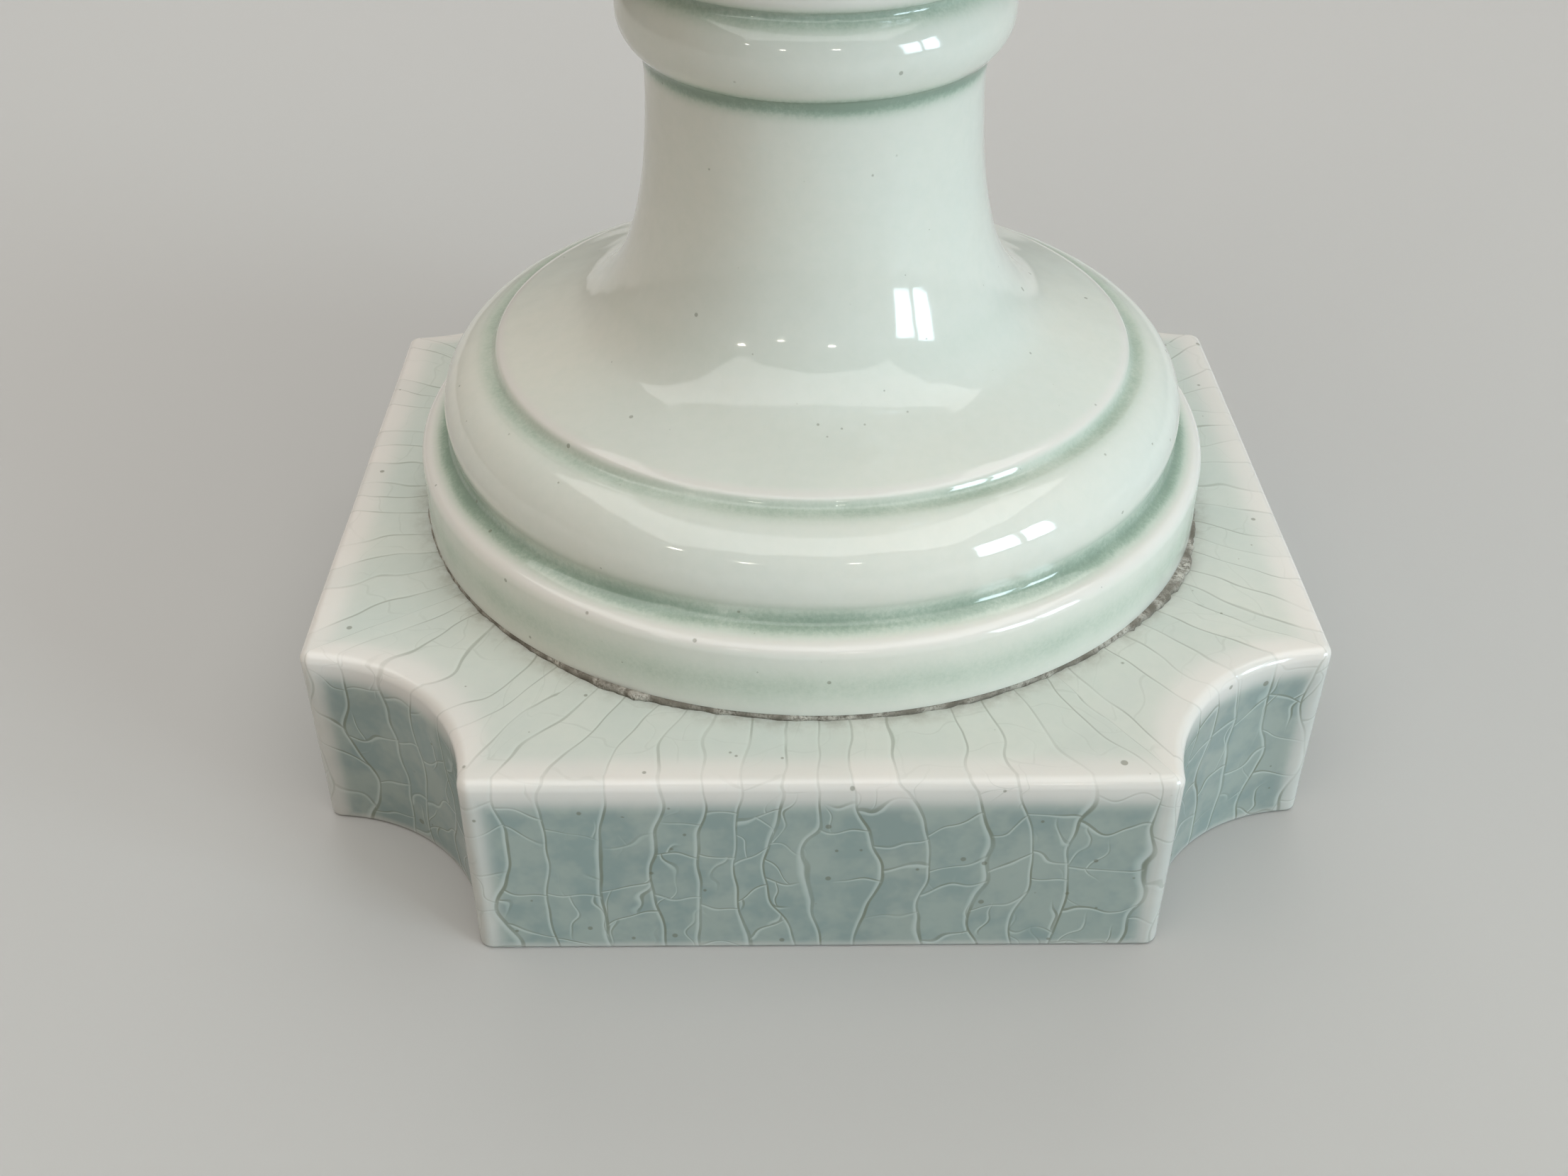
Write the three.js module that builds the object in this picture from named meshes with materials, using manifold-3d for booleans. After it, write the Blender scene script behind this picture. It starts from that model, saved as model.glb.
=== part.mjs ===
// A celadon-glazed porcelain vase on a tall moulded foot and a square plinth with hollowed corners.
// The three porcelain pieces are fired separately and pulled together by one threaded rod on the axis.
// Millimetres, +Z up. The origin is the middle of the plinth's underside, on the surface it stands on.
import * as THREE from "three";
import { mergeVertices } from "three/addons/utils/BufferGeometryUtils.js";
import Module from "manifold-3d";

const wasm = await Module();
wasm.setup();

// Driving dimensions
const PLINTH_WIDTH = 90;
const PLINTH_HEIGHT = 19.2;
const NOTCH_RADIUS = 16; // the hollow quarter circle taken out of each corner
const PLINTH_EDGE = 1.0; // rounding of the plinth's horizontal edges
const PLINTH_CORNER = 1.3; // rounding of its upright edges
const PLINTH_WALL = 6;
const PLINTH_TOP = 6;
const FOOT_RADIUS = 37.6; // the round foot where it meets the plinth
const STEM_RADIUS = 14.6; // the narrowest part of the stem
const SHOULDER_RADIUS = 58; // the widest part of the body
const RIM_RADIUS = 36.5;
const VASE_HEIGHT = 260;
const WALL = 4.5; // porcelain wall of the foot and the body
const ROD_RADIUS = 3;
const ROD_HOLE = 4.2;
const FIT_GAP = 0.05; // between pieces that are pressed together
const AROUND = 40; // flats around each large turned piece
const AROUND_SMALL = 24;

const BEDDING_THICKNESS = 0.35;
const FOOT_BOTTOM = PLINTH_HEIGHT + BEDDING_THICKNESS + 2 * FIT_GAP;
const FOOT_TOP = 72.2; // the foot's uppermost face, above its ring and collar
const CORK_THICKNESS = 0.5;
const BODY_BOTTOM = FOOT_TOP + CORK_THICKNESS + 2 * FIT_GAP;
const BOWL_FLOOR = 81;
const BOWL_SPLIT = 131; // level cuts that keep the body in three nodes
const NECK_SPLIT = 212;

const celadon = { color: 0xd5ded3, roughness: 0.12, metalness: 0 };
const celadonPlinth = { color: 0xc9d5cd, roughness: 0.12, metalness: 0 };
const brass = { color: 0xb08d4a, roughness: 0.35, metalness: 1 };
const steel = { color: 0x8f9296, roughness: 0.4, metalness: 1 };
const cork = { color: 0xa87f55, roughness: 0.9, metalness: 0 };
const plaster = { color: 0x9d978a, roughness: 0.95, metalness: 0 };

const vase = new THREE.Group();

function add(name, geometry, material) {
  const mesh = new THREE.Mesh(geometry, new THREE.MeshStandardMaterial(material));
  mesh.name = name;
  vase.add(mesh);
}

function solid(geometry) {
  const bare = geometry.clone();
  bare.deleteAttribute("normal");
  bare.deleteAttribute("uv");
  const merged = mergeVertices(bare, 1e-4);
  return new wasm.Manifold(
    new wasm.Mesh({
      numProp: 3,
      vertProperties: merged.attributes.position.array,
      triVerts: new Uint32Array(merged.index.array),
    }),
  );
}

function geometryOf(made) {
  const mesh = made.getMesh();
  const position = new Float32Array(mesh.numVert * 3);
  for (let i = 0; i < mesh.numVert; i++) {
    const start = i * mesh.numProp;
    position.set(mesh.vertProperties.subarray(start, start + 3), i * 3);
  }
  return new THREE.BufferGeometry()
    .setAttribute("position", new THREE.BufferAttribute(position, 3))
    .setIndex(new THREE.BufferAttribute(mesh.triVerts, 1));
}

// A turned piece. The profile holds [radius, height] points, up the outside and down the inside.
function turned(profile, around = AROUND) {
  const points = profile.map(([r, z]) => new THREE.Vector2(r, z));
  points.push(points[0].clone());
  return new THREE.LatheGeometry(points, around).rotateX(Math.PI / 2);
}

function washer(inner, outer, bottom, top, around = AROUND) {
  return turned(
    [
      [inner, bottom],
      [outer, bottom],
      [outer, top],
      [inner, top],
    ],
    around,
  );
}

// Points of an arc in the profile plane, angles in degrees from the outward direction.
function arc(r, z, radius, from, to, steps) {
  const points = [];
  for (let i = 0; i <= steps; i++) {
    const angle = THREE.MathUtils.degToRad(from + ((to - from) * i) / steps);
    points.push([r + radius * Math.cos(angle), z + radius * Math.sin(angle)]);
  }
  return points;
}

// A smooth stretch of profile through the given points.
function curve(points, steps) {
  const through = points.map(([r, z]) => new THREE.Vector3(r, z, 0));
  return new THREE.CatmullRomCurve3(through, false, "centripetal")
    .getPoints(steps)
    .map((p) => [p.x, p.y]);
}

// The plinth's outline in plan: a square whose corners are hollowed by quarter circles.
// Each hollow ends in a small outward round, tangent to the side and to the hollow.
function plinthOutline(half, notch, round, flats) {
  const path = new THREE.Shape();
  const reach = Math.sqrt(notch * notch + 2 * notch * round); // corner to the round's centre
  const lean = Math.atan2(round, reach);
  for (let corner = 0; corner < 4; corner++) {
    const turn = (corner * Math.PI) / 2;
    const place = (x, y) => [
      x * Math.cos(turn) - y * Math.sin(turn),
      x * Math.sin(turn) + y * Math.cos(turn),
    ];
    const [ax, ay] = place(half - reach, -half + round);
    const [cx, cy] = place(half, -half);
    const [bx, by] = place(half - round, -half + reach);
    path.absarc(ax, ay, round, turn - Math.PI / 2, turn - lean, false);
    path.absarc(cx, cy, notch, turn + Math.PI - lean, turn + Math.PI / 2 + lean, true);
    path.absarc(bx, by, round, turn - Math.PI / 2 + lean, turn, false);
  }
  path.closePath();
  return path;
}

function plinth() {
  const half = PLINTH_WIDTH / 2;
  const block = new THREE.ExtrudeGeometry(plinthOutline(half, NOTCH_RADIUS, PLINTH_CORNER), {
    depth: PLINTH_HEIGHT - 2 * PLINTH_EDGE,
    curveSegments: 6,
    bevelThickness: PLINTH_EDGE,
    bevelSize: PLINTH_EDGE,
    bevelOffset: -PLINTH_EDGE,
    bevelSegments: 2,
  }).translate(0, 0, PLINTH_EDGE);
  const pocketDepth = PLINTH_HEIGHT - PLINTH_TOP;
  const pocket = new THREE.ExtrudeGeometry(
    plinthOutline(half - PLINTH_WALL, NOTCH_RADIUS, PLINTH_CORNER),
    { depth: pocketDepth + 1, curveSegments: 6, bevelEnabled: false },
  ).translate(0, 0, -1);
  const hole = new THREE.CylinderGeometry(ROD_HOLE, ROD_HOLE, 40, 24).rotateX(Math.PI / 2);
  return geometryOf(solid(block).subtract(solid(pocket)).subtract(solid(hole)));
}

// The foot: a plain disc, a large torus, a stepped dome sweeping up into the stem, a ring and a collar.
function pedestal() {
  const outside = [
    [FOOT_RADIUS - 0.5, FOOT_BOTTOM],
    [FOOT_RADIUS, FOOT_BOTTOM + 0.5],
    [FOOT_RADIUS - 0.1, 25.4],
    ...arc(FOOT_RADIUS - 1.3, 25.4, 1.2, 30, 90, 2),
    [34.9, 26.9],
    ...arc(29.87, 29.85, 5, -28, 84, 9),
    [29.75, 34.8],
    ...arc(28.8, 35.0, 0.9, 10, 68, 2),
    ...curve(
      [
        [26.4, 36.75],
        [24.0, 37.5],
        [21.6, 38.5],
        [19.6, 40.2],
        [17.8, 42.7],
        [16.5, 45.7],
        [15.4, 50.2],
        [14.85, 54.7],
        [STEM_RADIUS, 60.2],
        [14.75, 62.1],
      ],
      12,
    ),
    ...arc(12.9, 65.9, 3.9, -58, 50, 7),
    ...arc(14.6, 70.6, 1.3, -66, 74, 4),
    [14.2, FOOT_TOP],
  ];
  const inside = [
    [ROD_HOLE, FOOT_TOP],
    [ROD_HOLE, 63],
    [STEM_RADIUS - WALL - 0.6, 57.5],
    [STEM_RADIUS - WALL, 52],
    [12.5, 44],
    [17.5, 37.5],
    [24.5, 32.5],
    [30.4, 28],
    [31.6, FOOT_BOTTOM],
  ];
  return turned([...outside, ...inside]);
}

// The body: a small base, an egg-shaped bowl, a collar under the neck and a rolled rim.
function body() {
  const outside = [
    [14.2, BODY_BOTTOM],
    [14.8, BODY_BOTTOM + 0.6],
    [14.8, BODY_BOTTOM + 1.8],
    ...curve(
      [
        [14.1, 75.6],
        [13.9, 77.6],
        [15.8, 81.0],
        [22.8, 87.0],
        [34.2, 96.8],
        [45.6, 111.5],
        [54.0, 131.0],
        [57.7, 149.5],
        [SHOULDER_RADIUS, 159.0],
        [56.6, 172.5],
        [51.2, 185.5],
        [41.5, 196.0],
        [31.5, 202.6],
        [27.6, 205.8],
      ],
      17,
    ),
    ...arc(25.6, 208.6, 2.5, -48, 48, 4),
    ...curve(
      [
        [25.6, 211.6],
        [23.2, 219.0],
        [22.6, 227.0],
        [24.0, 237.0],
        [28.2, 247.0],
        [33.6, 253.6],
      ],
      7,
    ),
    ...arc(RIM_RADIUS - 2.9, VASE_HEIGHT - 2.9, 2.9, -52, 150, 7),
  ];
  const inside = [
    ...curve(
      [
        [28.6, 253.4],
        [24.4, 247.4],
        [20.2, 237.6],
        [18.6, 227.0],
        [19.2, 218.0],
        [22.0, 207.5],
        [28.0, 200.5],
        [38.0, 192.5],
        [47.0, 182.5],
        [52.0, 171.5],
        [53.5, 159.0],
        [53.0, 148.0],
        [49.4, 131.5],
        [41.0, 113.5],
        [29.5, 99.5],
        [19.0, 90.0],
        [12.5, 83.8],
      ],
      16,
    ),
    [10.5, BOWL_FLOOR],
    [ROD_HOLE, BOWL_FLOOR],
    [ROD_HOLE, BODY_BOTTOM],
  ];
  return turned([...outside, ...inside]);
}

// The body is fired in one piece. Level cuts keep it in three nodes, each a simple shape round its hollow.
function addBody() {
  const up = [0, 0, 1];
  const [aboveBowl, lower] = solid(body()).splitByPlane(up, BOWL_SPLIT);
  const [neck, upper] = aboveBowl.splitByPlane(up, NECK_SPLIT);
  add("vase_bowl_lower", geometryOf(lower), celadon);
  add("vase_bowl_upper", geometryOf(upper), celadon);
  add("vase_neck", geometryOf(neck), celadon);
}

function hexNut(acrossFlats, bottom, top) {
  const across = acrossFlats / Math.sqrt(3);
  const hole = ROD_RADIUS + FIT_GAP;
  const nut = new THREE.CylinderGeometry(across, across, top - bottom, 6).rotateX(Math.PI / 2);
  const bore = new THREE.CylinderGeometry(hole, hole, 2 * (top - bottom), AROUND_SMALL).rotateX(
    Math.PI / 2,
  );
  return geometryOf(solid(nut).subtract(solid(bore))).translate(0, 0, (bottom + top) / 2);
}

function hardware() {
  // In the bowl, from its floor up
  const bowlSeat = BOWL_FLOOR + FIT_GAP;
  const washerTop = bowlSeat + 1.5 + FIT_GAP + 1.4;
  const capBottom = washerTop + FIT_GAP;
  const capDepth = 6.1;
  add("bowl_gasket", washer(ROD_HOLE, 9.6, bowlSeat, bowlSeat + 1.5, AROUND_SMALL), cork);
  add("bowl_washer", washer(ROD_RADIUS + 0.3, 9, washerTop - 1.4, washerTop, AROUND_SMALL), brass);
  const cap = [
    [ROD_RADIUS + FIT_GAP, capBottom],
    [6.4, capBottom],
    [6.4, capBottom + 2.6],
    [5.6, capBottom + 5.2],
    [3.6, capBottom + 7.2],
    [0, capBottom + 8],
    [0, capBottom + capDepth],
    [ROD_RADIUS + FIT_GAP, capBottom + capDepth],
  ];
  add("bowl_cap_nut", turned(cap, AROUND_SMALL), brass);

  // Under the plinth, from its ceiling down
  const gasketTop = PLINTH_HEIGHT - PLINTH_TOP - FIT_GAP;
  const plateTop = gasketTop - 1.2 - FIT_GAP;
  const springTop = plateTop - 1.5 - FIT_GAP;
  const nutTop = springTop - 1.2 - FIT_GAP;
  add("plinth_gasket", washer(ROD_HOLE, 14, gasketTop - 1.2, gasketTop, AROUND_SMALL), cork);
  add("clamp_plate", washer(ROD_RADIUS + 0.3, 13, plateTop - 1.5, plateTop, AROUND_SMALL), steel);
  add("spring_washer", washer(ROD_RADIUS + 0.2, 5.2, springTop - 1.2, springTop, AROUND_SMALL), steel);
  add("clamp_nut", hexNut(10, nutTop - 4.6, nutTop), steel);

  // The rod stands out of the nut below and ends inside the cap nut above
  const rodBottom = nutTop - 6.2;
  const rodLength = capBottom + capDepth - 0.1 - rodBottom;
  const rod = new THREE.CylinderGeometry(ROD_RADIUS, ROD_RADIUS, rodLength, AROUND_SMALL)
    .rotateX(Math.PI / 2)
    .translate(0, 0, rodBottom + rodLength / 2);
  add("tie_rod", rod, steel);
}

const beddingBottom = PLINTH_HEIGHT + FIT_GAP;
const beddingTop = beddingBottom + BEDDING_THICKNESS;
const gasketBottom = FOOT_TOP + FIT_GAP;
add("plinth", plinth(), celadonPlinth);
add("bedding_ring", washer(32, FOOT_RADIUS - 0.3, beddingBottom, beddingTop), plaster);
add("pedestal_foot", pedestal(), celadon);
add("body_seat_gasket", washer(ROD_HOLE, 13.4, gasketBottom, gasketBottom + CORK_THICKNESS), cork);
addBody();
hardware();

export default vase;
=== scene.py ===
"""Looks of a celadon-glazed porcelain vase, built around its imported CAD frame.

Metres, +Z up, the CAD's own frame. Shapes are worked out in millimetres and scaled once.
"""

import math

import bpy
import numpy as np
from mathutils import Euler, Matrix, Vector, noise


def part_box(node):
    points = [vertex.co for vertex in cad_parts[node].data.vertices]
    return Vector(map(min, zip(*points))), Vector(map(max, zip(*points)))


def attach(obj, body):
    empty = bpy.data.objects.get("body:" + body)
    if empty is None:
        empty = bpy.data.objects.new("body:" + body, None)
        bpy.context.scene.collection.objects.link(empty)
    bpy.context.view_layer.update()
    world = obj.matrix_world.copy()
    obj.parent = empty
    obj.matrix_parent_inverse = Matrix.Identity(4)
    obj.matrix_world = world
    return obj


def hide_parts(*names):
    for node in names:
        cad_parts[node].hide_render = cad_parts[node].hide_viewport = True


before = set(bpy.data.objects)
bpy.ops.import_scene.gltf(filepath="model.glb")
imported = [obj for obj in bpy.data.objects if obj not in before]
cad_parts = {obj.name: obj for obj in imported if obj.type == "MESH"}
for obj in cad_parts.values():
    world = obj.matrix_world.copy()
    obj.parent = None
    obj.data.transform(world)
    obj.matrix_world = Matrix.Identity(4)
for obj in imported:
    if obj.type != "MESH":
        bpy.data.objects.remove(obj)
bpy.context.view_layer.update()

MM = 0.001
TAU = 2 * math.pi

# Driving dimensions, in millimetres, taken from the frame where it holds them
PLINTH_HIGH = np.array(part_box("plinth")[1]) / MM
FOOT_LOW, FOOT_HIGH = (np.array(corner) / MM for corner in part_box("pedestal_foot"))
BODY_NODES = ("vase_bowl_lower", "vase_bowl_upper", "vase_neck")
BODY_BOXES = np.array([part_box(node) for node in BODY_NODES]) / MM
BODY_LOW, BODY_HIGH = BODY_BOXES[:, 0].min(axis=0), BODY_BOXES[:, 1].max(axis=0)
PLINTH_HALF = PLINTH_HIGH[0]
PLINTH_TOP = PLINTH_HIGH[2]
FOOT_RADIUS = FOOT_HIGH[0]
NOTCH = 16.0  # hollow quarter circle at each corner of the plinth
CORNER_ROUND = 1.3
EDGE_ROUND = 1.0
BASE_ROUND = 0.45
PLINTH_WALL = 6.0
PLINTH_CEILING = PLINTH_TOP - 6.0
ROD_HOLE = 4.2
ROD_RADIUS = 3.0
AROUND_TURNED = 256
AROUND_HARDWARE = 96
PLINTH_WOBBLE, FOOT_WOBBLE, BODY_WOBBLE = 0.12, 0.08, 0.25  # unevenness of the porcelain


# ---------------------------------------------------------------- mesh helpers


def arc(r, z, radius, start, end, steps):
    """Points of an arc in the profile plane, angles in degrees from the outward direction."""
    angles = np.radians(np.linspace(start, end, steps + 1))
    return [(r + radius * math.cos(a), z + radius * math.sin(a)) for a in angles]


def line(start, end, steps):
    """Evenly spaced points from start up to, but not including, end."""
    return [tuple(np.array(start) + (np.array(end) - start) * i / steps) for i in range(steps)]


def curve(points, steps):
    """A smooth centripetal Catmull-Rom stretch of profile through the points."""
    p = np.array(points, dtype=float)
    p = np.vstack([2 * p[0] - p[1], p, 2 * p[-1] - p[-2]])
    knots = np.concatenate([[0], np.cumsum(np.sqrt(np.linalg.norm(np.diff(p, axis=0), axis=1)))])
    made = []
    for t in np.linspace(knots[1], knots[-2], steps + 1):
        i = int(np.clip(np.searchsorted(knots, t, side="right") - 1, 1, len(p) - 3))
        k0, k1, k2, k3 = knots[i - 1 : i + 3]
        a1 = p[i - 1] * (k1 - t) / (k1 - k0) + p[i] * (t - k0) / (k1 - k0)
        a2 = p[i] * (k2 - t) / (k2 - k1) + p[i + 1] * (t - k1) / (k2 - k1)
        a3 = p[i + 1] * (k3 - t) / (k3 - k2) + p[i + 2] * (t - k2) / (k3 - k2)
        b1 = a1 * (k2 - t) / (k2 - k0) + a2 * (t - k0) / (k2 - k0)
        b2 = a2 * (k3 - t) / (k3 - k1) + a3 * (t - k1) / (k3 - k1)
        made.append(tuple(b1 * (k2 - t) / (k2 - k1) + b2 * (t - k1) / (k2 - k1)))
    return made


def near(points, spots):
    """How close each point is to the spots (r, z, reach, strength), from 0 to 1."""
    points = np.array(points)
    total = np.zeros(len(points))
    for r, z, reach, strength in spots:
        distance = np.hypot(points[:, 0] - r, points[:, 1] - z)
        total = np.maximum(total, strength * np.exp(-((distance / reach) ** 2)))
    return total


def skin(name, rings, capped=False, flip=False):
    """A smooth closed mesh through rings of equally many points; the last joins the first unless capped."""
    rings = np.array(rings)
    count, around = rings.shape[:2]
    faces = []
    for i in range(count - 1 if capped else count):
        here = i * around
        above = (i + 1) % count * around
        for j in range(around):
            k = (j + 1) % around
            faces.append((here + j, here + k, above + k, above + j))
    if capped:
        faces.append(tuple(range(around))[::-1])
        faces.append(tuple((count - 1) * around + j for j in range(around)))
    if flip:
        faces = [face[::-1] for face in faces]
    mesh = bpy.data.meshes.new(name)
    mesh.from_pydata((rings.reshape(-1, 3) * MM).tolist(), [], faces)
    mesh.polygons.foreach_set("use_smooth", [True] * len(faces))
    mesh.update()
    piece = bpy.data.objects.new(name, mesh)
    bpy.context.scene.collection.objects.link(piece)
    return piece


def turned_rings(profile, around):
    """Rings round the Z axis through the (radius, height) points of a profile."""
    angles = np.arange(around) * TAU / around
    profile = np.array(profile)
    rings = np.empty((len(profile), around, 3))
    rings[:, :, 0] = profile[:, :1] * np.cos(angles)
    rings[:, :, 1] = profile[:, :1] * np.sin(angles)
    rings[:, :, 2] = profile[:, 1:]
    return rings


def attribute(piece, name, values):
    """Keeps one number, or one vector, for each vertex."""
    values = np.array(values, dtype=np.float32)
    kind, field = ("FLOAT_VECTOR", "vector") if values.ndim == 2 else ("FLOAT", "value")
    made = piece.data.attributes.new(name, kind, "POINT")
    made.data.foreach_set(field, values.ravel())


def wobble(piece, size, amount):
    """The slight unevenness of a hand-finished surface: pushed in by up to amount mm, but held at z = 0."""
    mesh = piece.data
    moved = []
    for vertex, normal in zip(mesh.vertices, [Vector(n.vector) for n in mesh.vertex_normals]):
        held = min(vertex.co.z / (size * MM / 4), 1)
        push = (noise.noise(vertex.co / (size * MM)) - 1) / 2 * held * amount * MM
        moved.append(vertex.co + normal * push)
    mesh.vertices.foreach_set("co", np.array(moved).ravel())
    mesh.update()


def finish_piece(piece, material, slot, *nodes):
    """Material, body and the CAD nodes that the piece stands for; the finish slot is not used."""
    piece.data.materials.clear()
    piece.data.materials.append(material)
    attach(piece, "root")
    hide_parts(*nodes)


# ---------------------------------------------------------------- node helpers


class Nodes:
    """Builds one procedural material, a node at a time."""

    def __init__(self, name):
        self.material = bpy.data.materials.new(name)
        self.material.use_nodes = True
        self.tree = self.material.node_tree
        self.tree.nodes.clear()
        self.shader = self.add("ShaderNodeBsdfPrincipled")
        output = self.add("ShaderNodeOutputMaterial")
        self.link(self.shader.outputs[0], output.inputs[0])

    def add(self, kind, **settings):
        node = self.tree.nodes.new(kind)
        for key, value in settings.items():
            setattr(node, key, value)
        return node

    def link(self, source, target):
        if isinstance(source, bpy.types.NodeSocket):
            self.tree.links.new(source, target)
        else:
            target.default_value = source

    def math(self, operation, a, b=0.0, c=0.0, clamp=False):
        node = self.add("ShaderNodeMath", operation=operation, use_clamp=clamp)
        for value, target in zip((a, b, c), node.inputs):
            self.link(value, target)
        return node.outputs[0]

    def fade(self, value, low, high, to_low=0.0, to_high=1.0):
        """A smooth step from to_low, where value is low, to to_high."""
        node = self.add("ShaderNodeMapRange", interpolation_type="SMOOTHSTEP")
        for given, target in zip((value, low, high, to_low, to_high), node.inputs):
            self.link(given, target)
        return node.outputs[0]

    def mix(self, factor, a, b):
        node = self.add("ShaderNodeMix", data_type="RGBA")
        self.link(factor, node.inputs[0])
        self.link(colour(a), node.inputs[6])
        self.link(colour(b), node.inputs[7])
        return node.outputs[2]

    def noise(self, vector, scale, detail=2.0, roughness=0.5):
        node = self.add("ShaderNodeTexNoise")
        self.link(vector, node.inputs["Vector"])
        self.link(scale, node.inputs["Scale"])
        self.link(detail, node.inputs["Detail"])
        self.link(roughness, node.inputs["Roughness"])
        return node.outputs[0]

    def attribute(self, name, output="Fac"):
        return self.add("ShaderNodeAttribute", attribute_name=name).outputs[output]

    def object_mm(self):
        """Object coordinates in millimetres."""
        node = self.add("ShaderNodeVectorMath", operation="SCALE")
        self.link(self.add("ShaderNodeTexCoord").outputs["Object"], node.inputs[0])
        node.inputs["Scale"].default_value = 1 / MM
        return node.outputs[0]

    def split(self, vector):
        node = self.add("ShaderNodeSeparateXYZ")
        self.link(vector, node.inputs[0])
        return node.outputs

    def bump(self, height, distance, strength=1.0, below=None):
        node = self.add("ShaderNodeBump")
        node.inputs["Strength"].default_value = strength
        node.inputs["Distance"].default_value = distance
        self.link(height, node.inputs["Height"])
        if below is not None:
            self.link(below, node.inputs["Normal"])
        return node.outputs[0]

    def set(self, **inputs):
        for name, value in inputs.items():
            self.link(value, self.shader.inputs[name.replace("_", " ")])


def colour(value):
    """A colour written as three sRGB numbers from 0 to 255 becomes linear; a socket stays as it is."""
    if isinstance(value, bpy.types.NodeSocket):
        return value
    scaled = [channel / 255 for channel in value]
    return [c / 12.92 if c <= 0.04045 else ((c + 0.055) / 1.055) ** 2.4 for c in scaled] + [1.0]


# ---------------------------------------------------------------- glazes

GLAZE_IOR = 1.5
GLAZE_DEPTH = 1.2 * MM  # how far light spreads in the milky glaze
GLAZE_SPREAD = (1.0, 0.9, 0.75)  # its share of that for red, green and blue
MILKINESS = 0.12

# Colours, as sRGB numbers from 0 to 255
POOL_LIGHT, POOL_DEEP = (184, 197, 181), (142, 160, 144)
# The second colour whitens the plinth's edges: thin glaze, and a painted highlight along its top edge
THIN_GLAZE, EDGE_THIN_GLAZE_AND_HIGHLIGHT = (228, 223, 217), (226, 220, 213)
FOOT_TONE, FOOT_DEEP, FOOT_CREAM = (219, 222, 213), (190, 203, 190), (224, 223, 212)
PLINTH_TONE, PLINTH_DEEP, PLINTH_CREAM = (202, 208, 200), (178, 192, 182), (210, 212, 202)
# The next two colours are painted shade: the plinth's sides are coloured darker than its top, for the shade
# they lie in
SIDE_SHADE_DARK, SIDE_SHADE_PALE = (120, 139, 136), (143, 155, 148)
# Painted shade: a darker tone given to some flakes at random, for the uneven light refracted through the
# cracks
FLAKE_SHADE = (150, 172, 166)
CRACK_STAIN, CRACK_GLINT = (110, 114, 94), (222, 230, 225)
# A darker colour for a patchy ring on the plinth's top round the foot
DARK_RING_ROUND_FOOT = (146, 142, 126)
FOOT_SPECK, PLINTH_SPECK = (112, 112, 92), (104, 104, 84)

# Families of cracks in the plinth's glaze: spacing and width, in millimetres
LONG_CRACKS, RUNGS, CHIPS = (3.9, 0.17), (4.6, 0.13), (3.4, 0.12)


def pinholes(n, place, size, share, seed):
    """Scattered dark specks: small dots in a few of the cells of a Voronoi pattern."""
    shifted = n.add("ShaderNodeVectorMath", operation="ADD")
    n.link(place, shifted.inputs[0])
    shifted.inputs[1].default_value = (seed, 2 * seed, 3 * seed)
    cells = n.add("ShaderNodeTexVoronoi", voronoi_dimensions="3D", feature="F1")
    n.link(shifted.outputs[0], cells.inputs["Vector"])
    cells.inputs["Scale"].default_value = 0.55
    picked = n.add("ShaderNodeSeparateColor")
    n.link(cells.outputs["Color"], picked.inputs[0])
    chosen = n.math("LESS_THAN", picked.outputs[0], share)
    radius = n.math("MULTIPLY", picked.outputs[1], size)
    dot = n.fade(n.math("SUBTRACT", cells.outputs["Distance"], radius), -0.02, 0.03, 1.0, 0.0)
    return n.math("MULTIPLY", chosen, dot)


def glaze_base(n, place, body_tone, deep_tone, cream_tone):
    """Celadon colour: slow clouds, green where the glaze pools, white where it runs thin."""
    clouds = n.noise(place, 0.035, 3.0)
    mottle = n.noise(place, 0.9, 3.0, 0.6)
    base = n.mix(n.fade(clouds, 0.35, 0.7), body_tone, cream_tone)
    base = n.mix(n.fade(mottle, 0.3, 0.75, 0.0, 0.10), base, deep_tone)
    pool = n.attribute("pool")
    grain = n.noise(place, 2.6, 2.0, 0.7)
    drift = n.noise(place, 0.16, 2.0)
    uneven = n.math("MULTIPLY_ADD", n.math("SUBTRACT", drift, 0.5), 0.7, 1.0)
    grainy = n.math("MULTIPLY_ADD", n.math("SUBTRACT", grain, 0.5), 0.55, uneven)
    depth = n.math("MULTIPLY", pool, grainy, clamp=True)
    green = n.mix(n.fade(depth, 0.35, 1.0), POOL_LIGHT, POOL_DEEP)
    base = n.mix(n.fade(depth, 0.0, 0.75), base, green)
    thin = n.attribute("thin")
    return n.mix(n.math("MULTIPLY", n.fade(thin, 0.0, 1.0), 0.75), base, THIN_GLAZE)


def milky(n):
    """The refraction and the scattering that both glazes share."""
    n.set(IOR=GLAZE_IOR, Subsurface_Weight=MILKINESS, Subsurface_Scale=GLAZE_DEPTH)
    n.shader.inputs["Subsurface Radius"].default_value = GLAZE_SPREAD


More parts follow.
